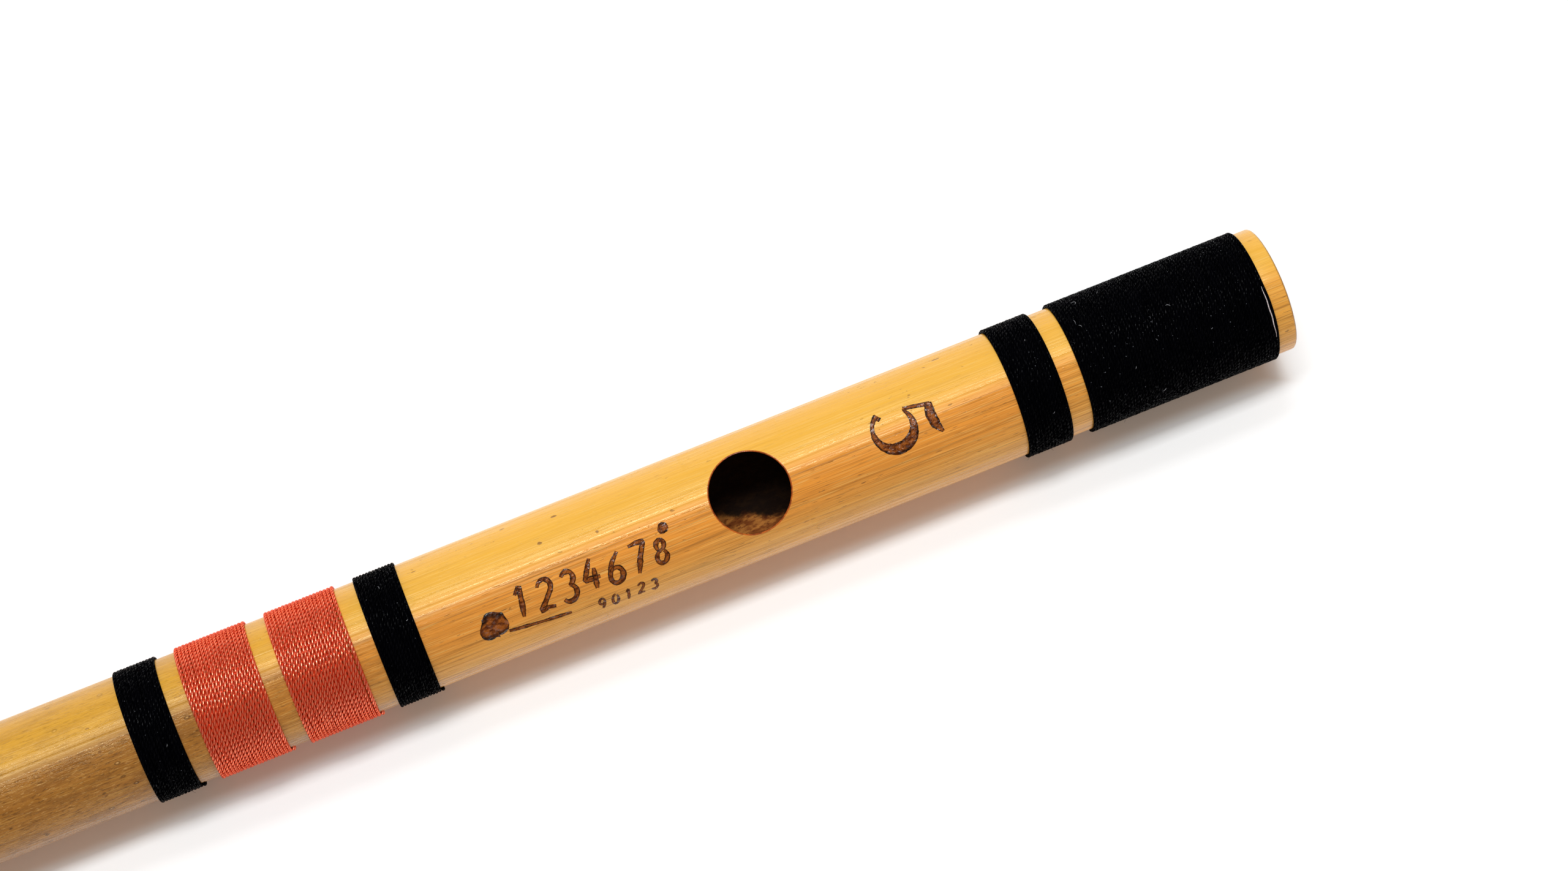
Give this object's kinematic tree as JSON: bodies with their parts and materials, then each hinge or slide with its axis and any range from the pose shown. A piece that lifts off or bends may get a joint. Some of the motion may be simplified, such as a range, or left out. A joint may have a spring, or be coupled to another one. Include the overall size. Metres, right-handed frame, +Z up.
{
  "type": "bansuri",
  "caption": "Side-blown bamboo flute with a round blow hole, finger holes in a line, a cork stopper inside the head and black and red thread bindings.",
  "frame": {"origin": "middle of the flute's length, under its axis, on the surface that it lies on", "axes": "+X along the flute towards the head end, +Z up through the blow hole and finger holes"},
  "size_m": [0.3598, 0.0188, 0.0189],
  "materials": {
    "bamboo": "smooth natural bamboo skin, light varnish",
    "cork": "cut cork",
    "black_thread": "tightly wound twisted thread",
    "red_thread": "tightly wound twisted thread"
  },
  "bodies": {
    "root": {"bamboo_tube": "bamboo", "cork_stopper": "cork", "head_wide_binding": "black_thread", "head_narrow_binding": "black_thread", "centre_black_binding_1": "black_thread", "centre_red_binding_1_core": "red_thread", "centre_red_binding_1_thread": "red_thread", "centre_red_binding_2_core": "red_thread", "centre_red_binding_2_thread": "red_thread", "centre_black_binding_2": "black_thread", "foot_black_binding_1": "black_thread", "foot_red_binding_core": "red_thread", "foot_red_binding_thread": "red_thread", "foot_black_binding_2": "black_thread", "foot_wide_binding": "black_thread"}
  },
  "joints": []
}
